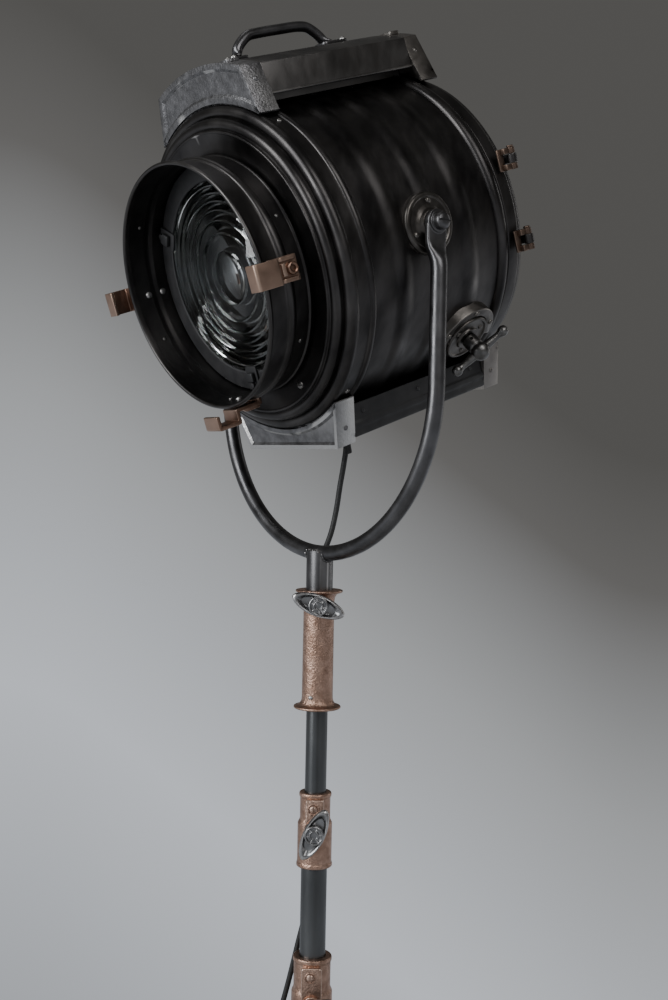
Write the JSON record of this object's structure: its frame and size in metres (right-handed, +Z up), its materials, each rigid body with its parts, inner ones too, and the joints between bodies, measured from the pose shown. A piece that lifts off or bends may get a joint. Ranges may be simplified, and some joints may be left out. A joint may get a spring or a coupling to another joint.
{
  "type": "follow spot",
  "caption": "Fresnel lens stage light in a tilting yoke, with focus drive, rear door and clips for colour frames, on a telescoping rolling stand.",
  "frame": {"origin": "on the floor, in the middle of the footprint of the object without its lead", "axes": "+Z up, -Y the way the lamp head looks, +X the side of the head that has the focus handle"},
  "size_m": [0.8532, 0.739, 1.9273],
  "materials": {
    "drum_steel": "blackened sheet steel, satin, edges burnished bright",
    "dark_casting": "sand-cast light alloy, dark waxed, fine pebbled skin",
    "bronze": "rosy sand-cast bronze, polished high spots, darker hollows",
    "bright_steel": "drawn steel tube and fittings, gunmetal, lightly brushed",
    "yoke_steel": "gunmetal steel tube, satin polish",
    "knob_steel": "polished dark grey cast iron",
    "black_paint": "flat black heat-proof paint",
    "reflector_mirror": "bright spun reflector",
    "lens_glass": "clear pressed glass, stepped face, pebbled back",
    "bulb_glass": "clear lamp glass",
    "porcelain": "glazed porcelain lampholder",
    "caster_rubber": "dark grey solid rubber tread",
    "lead_rubber": "black rubber-sheathed lead"
  },
  "bodies": {
    "base": {"base_column": "bright_steel", "mid_clamp": "bronze", "leg_hub": "bronze", "lead_floor": "lead_rubber", "lead_coil": "lead_rubber", "lead_plug": "lead_rubber"},
    "mid_mast": {"mid_riser": "bright_steel", "top_clamp": "bronze"},
    "top_mast": {"top_riser": "bright_steel", "head_receiver": "bronze", "lead_mast": "lead_rubber"},
    "yoke": {"yoke_bow": "yoke_steel", "yoke_stem": "bright_steel", "pivot_bolt_right": "bright_steel", "lead_pan": "lead_rubber"},
    "head": {"barrel_shell": "drum_steel", "front_cover": "drum_steel", "lens_tube": "drum_steel", "fresnel_lens": "lens_glass", "lens_retainer": "black_paint", "front_top_casting": "dark_casting", "rear_top_casting": "dark_casting", "front_bottom_casting": "dark_casting", "rear_bottom_casting": "dark_casting", "vent_cover": "drum_steel", "wiring_channel": "black_paint", "lead_gland": "bright_steel", "carry_handle": "bright_steel", "pivot_boss_right": "dark_casting", "pivot_boss_left": "dark_casting", "frame_clip_right": "bronze", "frame_clip_bottom": "bronze", "frame_clip_left": "bronze", "focus_boss": "dark_casting", "focus_hood": "dark_casting", "guide_frame": "black_paint", "door_hinge_lower": "bronze", "door_hinge_upper": "bronze", "door_keeper": "bronze", "lead_head": "lead_rubber"},
    "focus_handle": {"focus_handle": "knob_steel"},
    "carriage": {"lamp_carriage": "black_paint", "reflector": "reflector_mirror", "lamp_socket": "porcelain", "lamp_bulb": "bulb_glass"},
    "rear_door": {"rear_door": "drum_steel"},
    "door_latch": {"door_latch": "knob_steel"},
    "tilt_clamp": {"tilt_clamp_lever": "knob_steel"},
    "receiver_knob": {"receiver_wing_knob": "knob_steel"},
    "top_knob": {"top_wing_knob": "knob_steel"},
    "mid_knob": {"mid_wing_knob": "knob_steel"},
    "leg_1": {"leg_1": "yoke_steel"},
    "fork_1": {"caster_fork_1": "bright_steel"},
    "wheel_1": {"caster_wheel_1": "caster_rubber"},
    "leg_2": {"leg_2": "yoke_steel"},
    "fork_2": {"caster_fork_2": "bright_steel"},
    "wheel_2": {"caster_wheel_2": "caster_rubber"},
    "leg_3": {"leg_3": "yoke_steel"},
    "fork_3": {"caster_fork_3": "bright_steel"},
    "wheel_3": {"caster_wheel_3": "caster_rubber"}
  },
  "joints": [
    {"name": "pan", "type": "hinge", "parent": "top_mast", "child": "yoke", "pos_m": [0, 0.11853, 1.333], "axis": [0, 0, 1], "range_deg": [-120, 120], "deforming": ["lead_pan"]},
    {"name": "tilt", "type": "hinge", "parent": "yoke", "child": "head", "pos_m": [0, 0.11853, 1.7], "axis": [1, 0, 0], "range_deg": [-64, 50], "deforming": ["lead_head"]},
    {"name": "tilt_clamp_turn", "type": "hinge", "parent": "yoke", "child": "tilt_clamp", "pos_m": [-0.187, 0.11853, 1.7], "axis": [1, 0, 0], "range_deg": [-110, 110]},
    {"name": "focus_turn", "type": "hinge", "parent": "head", "child": "focus_handle", "pos_m": [0.13435, 0.21845, 1.58639], "axis": [0.7071, 0.2325, -0.6678], "range_deg": [-213, 213]},
    {"name": "focus_slide", "type": "slide", "parent": "head", "child": "carriage", "axis": [0, 0.9444, 0.3289], "range_m": [-0.0297, 0.0297]},
    {"name": "rear_door_swing", "type": "hinge", "parent": "head", "child": "rear_door", "pos_m": [0.166, 0.24094, 1.73649], "axis": [0, -0.3289, 0.9444], "range_deg": [-110, 0]},
    {"name": "door_latch_turn", "type": "hinge", "parent": "rear_door", "child": "door_latch", "pos_m": [-0.146, 0.2451, 1.73793], "axis": [0, 0.9444, 0.3289], "range_deg": [0, 90]},
    {"name": "upper_mast_slide", "type": "slide", "parent": "mid_mast", "child": "top_mast", "axis": [0, 0, 1], "range_m": [-0.085, 0.45], "deforming": ["lead_mast"]},
    {"name": "lower_mast_slide", "type": "slide", "parent": "base", "child": "mid_mast", "axis": [0, 0, 1], "range_m": [-0.09, 0.5], "deforming": ["lead_floor"]},
    {"name": "receiver_knob_turn", "type": "hinge", "parent": "top_mast", "child": "receiver_knob", "pos_m": [0.0331, 0.09267, 1.32], "axis": [0.788, -0.6157, 0], "continuous": true},
    {"name": "top_knob_turn", "type": "hinge", "parent": "mid_mast", "child": "top_knob", "pos_m": [0.0331, 0.09267, 1.08], "axis": [0.788, -0.6157, 0], "continuous": true},
    {"name": "mid_knob_turn", "type": "hinge", "parent": "base", "child": "mid_knob", "pos_m": [0.0331, 0.09267, 0.894], "axis": [0.788, -0.6157, 0], "continuous": true},
    {"name": "leg_fold_1", "type": "hinge", "parent": "base", "child": "leg_1", "pos_m": [0, 0.06853, 0.17], "axis": [1, 0, 0], "range_deg": [0, 60]},
    {"name": "caster_swivel_1", "type": "hinge", "parent": "leg_1", "child": "fork_1", "pos_m": [0, -0.31147, 0.1], "axis": [0, 0, 1], "continuous": true},
    {"name": "caster_roll_1", "type": "hinge", "parent": "fork_1", "child": "wheel_1", "pos_m": [0, -0.33147, 0.038], "axis": [1, 0, 0], "continuous": true},
    {"name": "leg_fold_2", "type": "hinge", "parent": "base", "child": "leg_2", "pos_m": [0.0433, 0.14353, 0.17], "axis": [-0.5, 0.866, 0], "range_deg": [0, 60]},
    {"name": "caster_swivel_2", "type": "hinge", "parent": "leg_2", "child": "fork_2", "pos_m": [0.37239, 0.33353, 0.1], "axis": [0, 0, 1], "continuous": true},
    {"name": "caster_roll_2", "type": "hinge", "parent": "fork_2", "child": "wheel_2", "pos_m": [0.38971, 0.34353, 0.038], "axis": [-0.5, 0.866, 0], "continuous": true},
    {"name": "leg_fold_3", "type": "hinge", "parent": "base", "child": "leg_3", "pos_m": [-0.0433, 0.14353, 0.17], "axis": [-0.5, -0.866, 0], "range_deg": [0, 60]},
    {"name": "caster_swivel_3", "type": "hinge", "parent": "leg_3", "child": "fork_3", "pos_m": [-0.37239, 0.33353, 0.1], "axis": [0, 0, 1], "continuous": true},
    {"name": "caster_roll_3", "type": "hinge", "parent": "fork_3", "child": "wheel_3", "pos_m": [-0.38971, 0.34353, 0.038], "axis": [-0.5, -0.866, 0], "continuous": true}
  ],
  "couplings": [
    {"joint": "focus_turn", "follows": "focus_slide", "rad_per_m": -125}
  ]
}
